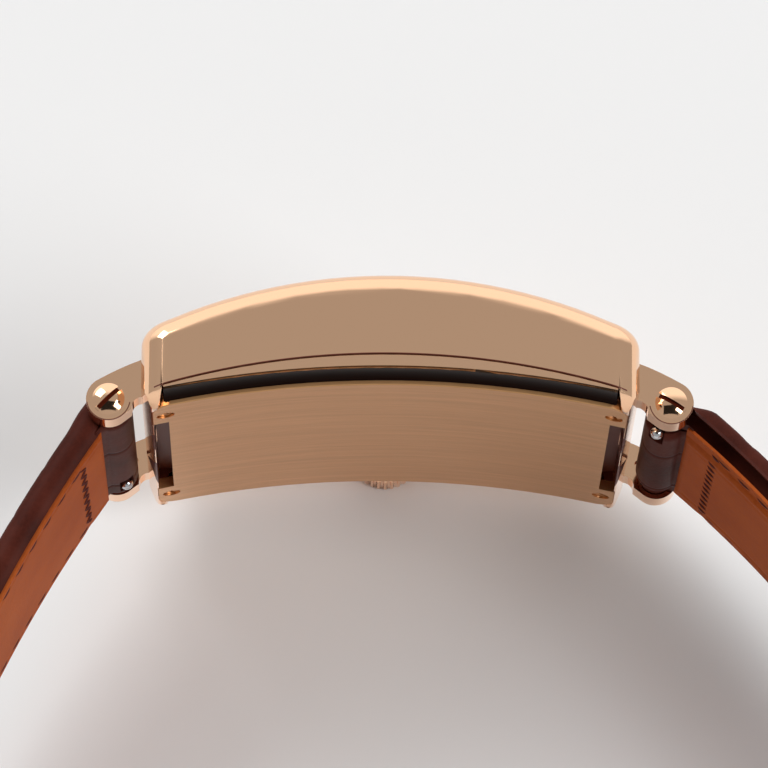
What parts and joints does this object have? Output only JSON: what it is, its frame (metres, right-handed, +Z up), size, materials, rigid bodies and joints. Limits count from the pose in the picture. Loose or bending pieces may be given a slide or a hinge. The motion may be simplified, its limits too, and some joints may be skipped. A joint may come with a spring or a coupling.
{
  "type": "wristwatch",
  "caption": "Curved rectangular wristwatch with screwed lugs, arched back cover and an open two-piece buckled leather strap, lying on its crown side.",
  "frame": {"origin": "bottom centre of the bounding box of the watch as it lies on its crown side", "axes": "+X from the 12 o'clock lugs to the 6 o'clock lugs, +Y the way the dial faces, +Z up, out of the 9 o'clock case side"},
  "size_m": [0.097, 0.11, 0.0361],
  "materials": {
    "brass": "polished warm gold",
    "brass_brushed": "brushed warm gold",
    "brass_works": "fine brushed",
    "steel": "smooth",
    "rubber": "matt",
    "glass": "clear",
    "ruby": "polished",
    "dial": "satin",
    "leather": "dark brown grained leather",
    "lining": "tan suede-side leather"
  },
  "bodies": {
    "case": {"upper_case": "brass", "base_frame": "brass", "back_gasket": "rubber", "back_cover": "brass_brushed", "back_screws": "brass_brushed", "lug_screws": "brass_brushed", "crystal": "glass", "crystal_gasket": "rubber", "dial": "dial", "dial_ring": "dial", "hour_markers": "steel", "crown_tube": "steel", "movement_ring": "brass_works", "main_plate": "brass_works", "barrel_bridge": "brass_works", "train_bridge": "brass_works", "balance_cock": "brass_works", "bridge_screws": "steel", "jewels": "ruby"},
    "crown_seat": {"crown_seal": "rubber"},
    "crown": {"crown": "brass", "winding_stem": "steel"},
    "clutch": {"winding_pinion": "steel", "sliding_pinion": "steel"},
    "crown_wheel": {"crown_wheel": "steel"},
    "ratchet": {"ratchet_wheel": "steel", "barrel_arbor": "steel"},
    "barrel": {"barrel": "brass_works", "mainspring": "steel"},
    "centre": {"centre_wheel": "brass_works", "cannon_pinion": "steel", "minute_hand": "steel"},
    "third": {"third_wheel": "brass_works"},
    "fourth": {"fourth_wheel": "brass_works", "seconds_hand": "steel"},
    "escape": {"escape_wheel": "steel"},
    "pallet": {"pallet_fork": "steel"},
    "balance": {"balance_wheel": "steel", "hairspring": "steel"},
    "minute_wheel": {"minute_wheel": "brass_works"},
    "hour": {"hour_wheel": "brass_works", "hour_hand": "steel"},
    "strap_12": {"strap_12_leather": "leather", "strap_12_lining": "lining", "spring_bar_12": "steel", "fixed_keeper": "leather"},
    "strap_6": {"strap_6_leather": "leather", "strap_6_lining": "lining", "spring_bar_6": "steel"},
    "release_12": {"release_pin_12": "steel"},
    "release_6": {"release_pin_6": "steel"},
    "free_keeper": {"free_keeper": "leather"},
    "buckle": {"buckle_frame": "brass", "buckle_bar": "brass"},
    "tongue": {"buckle_tongue": "brass"}
  },
  "joints": [
    {"name": "crown_pull", "type": "slide", "parent": "case", "child": "crown_seat", "axis": [0.0036, 0.1215, -0.9926], "range_m": [0, 0.001]},
    {"name": "crown_turn", "type": "hinge", "parent": "crown_seat", "child": "crown", "pos_m": [-0.00292, 0.05031, 0.0027], "axis": [0.0036, 0.1215, -0.9926], "continuous": true},
    {"name": "clutch_turn", "type": "hinge", "parent": "case", "child": "clutch", "pos_m": [-0.00295, 0.04921, 0.01163], "axis": [0.0036, 0.1215, -0.9926], "continuous": true},
    {"name": "crown_wheel_turn", "type": "hinge", "parent": "case", "child": "crown_wheel", "pos_m": [-0.00555, 0.04724, 0.01133], "axis": [-0.0004, 0.9926, 0.1215], "continuous": true},
    {"name": "ratchet_turn", "type": "hinge", "parent": "case", "child": "ratchet", "pos_m": [-0.00817, 0.04669, 0.01579], "axis": [-0.0004, 0.9926, 0.1215], "continuous": true},
    {"name": "minute_turn", "type": "hinge", "parent": "case", "child": "centre", "pos_m": [-0.00298, 0.04755, 0.01949], "axis": [-0.0004, 0.9926, 0.1215], "continuous": true},
    {"name": "barrel_turn", "type": "hinge", "parent": "case", "child": "barrel", "pos_m": [-0.00817, 0.04758, 0.0159], "axis": [-0.0004, 0.9926, 0.1215], "continuous": true},
    {"name": "third_turn", "type": "hinge", "parent": "case", "child": "third", "pos_m": [0.00053, 0.0476, 0.01745], "axis": [-0.0004, 0.9926, 0.1215], "continuous": true},
    {"name": "fourth_turn", "type": "hinge", "parent": "case", "child": "fourth", "pos_m": [0.00302, 0.04735, 0.01949], "axis": [-0.0004, 0.9926, 0.1215], "continuous": true},
    {"name": "escape_turn", "type": "hinge", "parent": "case", "child": "escape", "pos_m": [0.00196, 0.047, 0.02235], "axis": [-0.0004, 0.9926, 0.1215], "continuous": true},
    {"name": "minute_wheel_turn", "type": "hinge", "parent": "case", "child": "minute_wheel", "pos_m": [-0.00467, 0.04914, 0.01797], "axis": [-0.0004, 0.9926, 0.1215], "continuous": true},
    {"name": "hour_turn", "type": "hinge", "parent": "case", "child": "hour", "pos_m": [-0.00298, 0.04933, 0.01971], "axis": [-0.0004, 0.9926, 0.1215], "continuous": true},
    {"name": "pallet_rock", "type": "hinge", "parent": "case", "child": "pallet", "pos_m": [-0.00047, 0.0468, 0.02393], "axis": [-0.0004, 0.9926, 0.1215], "range_deg": [-6, 6]},
    {"name": "balance_swing", "type": "hinge", "parent": "case", "child": "balance", "pos_m": [-0.004, 0.04652, 0.02621], "axis": [-0.0004, 0.9926, 0.1215], "range_deg": [-150, 150], "stiffness_Nm_per_rad": 0.000002},
    {"name": "strap_12_hinge", "type": "hinge", "parent": "case", "child": "strap_12", "pos_m": [-0.02383, 0.04437, 0.01902], "axis": [0.0036, 0.1215, -0.9926], "range_deg": [-20, 45]},
    {"name": "strap_6_hinge", "type": "hinge", "parent": "case", "child": "strap_6", "pos_m": [0.01787, 0.04437, 0.01917], "axis": [-0.0036, -0.1215, 0.9926], "range_deg": [-25, 30]},
    {"name": "release_12_slide", "type": "slide", "parent": "strap_12", "child": "release_12", "axis": [-0.0036, -0.1215, 0.9926], "range_m": [0, 0.0009], "stiffness_N_per_m": 200, "springref_m": -0.004},
    {"name": "release_6_slide", "type": "slide", "parent": "strap_6", "child": "release_6", "axis": [0.0036, 0.1215, -0.9926], "range_m": [0, 0.0009], "stiffness_N_per_m": 200, "springref_m": -0.004},
    {"name": "free_keeper_slide", "type": "slide", "parent": "strap_12", "child": "free_keeper", "axis": [-0.2135, -0.9696, -0.1194], "range_m": [-0.003, 0.003]},
    {"name": "buckle_hinge", "type": "hinge", "parent": "strap_12", "child": "buckle", "pos_m": [-0.04413, -0.019, 0.01119], "axis": [0.0036, 0.1215, -0.9926], "range_deg": [-45, 45]},
    {"name": "tongue_hinge", "type": "hinge", "parent": "buckle", "child": "tongue", "pos_m": [-0.04413, -0.019, 0.01119], "axis": [0.0036, 0.1215, -0.9926], "range_deg": [0, 90]}
  ],
  "couplings": [
    {"joint": "clutch_turn", "follows": "crown_turn", "ratio": 1},
    {"joint": "crown_wheel_turn", "follows": "crown_turn", "ratio": 0.45161},
    {"joint": "ratchet_turn", "follows": "crown_turn", "ratio": -0.30435},
    {"joint": "barrel_turn", "follows": "minute_turn", "ratio": -0.16667},
    {"joint": "third_turn", "follows": "minute_turn", "ratio": -8},
    {"joint": "fourth_turn", "follows": "minute_turn", "ratio": 60},
    {"joint": "escape_turn", "follows": "minute_turn", "ratio": -600},
    {"joint": "minute_wheel_turn", "follows": "minute_turn", "ratio": -0.33333},
    {"joint": "hour_turn", "follows": "minute_turn", "ratio": 0.083333}
  ]
}
